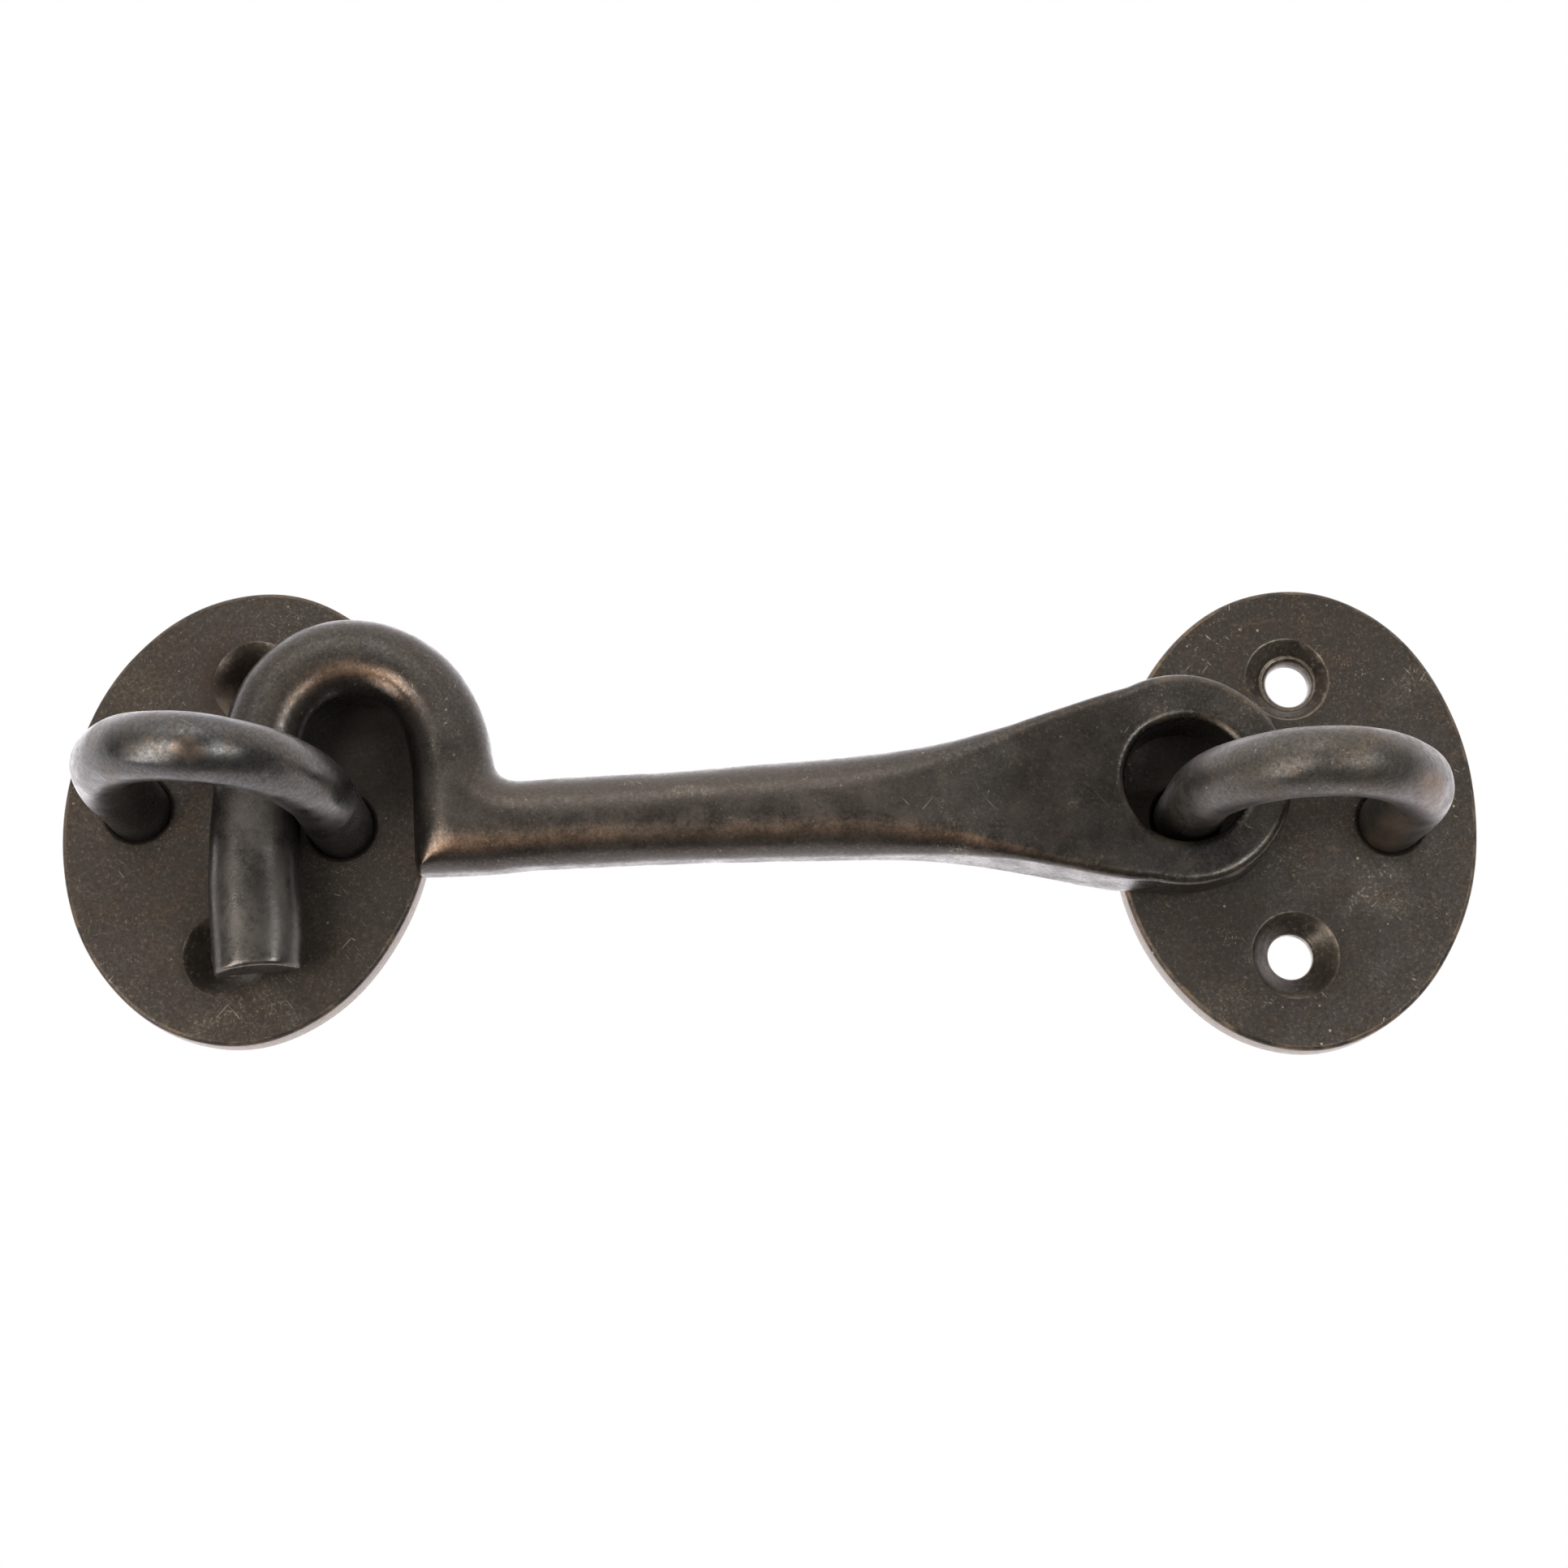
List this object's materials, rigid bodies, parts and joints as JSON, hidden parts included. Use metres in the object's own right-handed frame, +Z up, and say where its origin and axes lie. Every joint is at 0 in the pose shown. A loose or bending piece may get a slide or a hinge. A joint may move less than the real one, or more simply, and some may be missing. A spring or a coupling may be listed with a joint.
{
  "type": "cabin hook",
  "caption": "Cast cabin hook that pivots on a riveted staple and drops over a second staple, each on an oval plate with two countersunk screw holes.",
  "frame": {"origin": "centre of the pivot plate's hole pattern, on the plate's back face", "axes": "+Y into the door or wall, square to both plates' backs; +X from the keeper plate towards the pivot plate; +Z up"},
  "size_m": [0.1368, 0.0322, 0.0452],
  "materials": {
    "plate_bronze": "dark brown bronze patina, dull satin, with pale dust",
    "staple_bronze": "near black bronze patina, smooth satin",
    "hook_bronze": "near black bronze patina, satin, worn brown along its edges"
  },
  "bodies": {
    "plates": {"pivot_plate": "plate_bronze", "pivot_staple": "staple_bronze", "keeper_plate": "plate_bronze", "keeper_staple": "staple_bronze"},
    "hook": {"hook_arm": "hook_bronze"}
  },
  "joints": [
    {"name": "hook_swing", "type": "hinge", "parent": "plates", "child": "hook", "pos_m": [-0.00995, 0, 0.00003], "axis": [0, 1, 0], "range_deg": [-5, 144]}
  ]
}
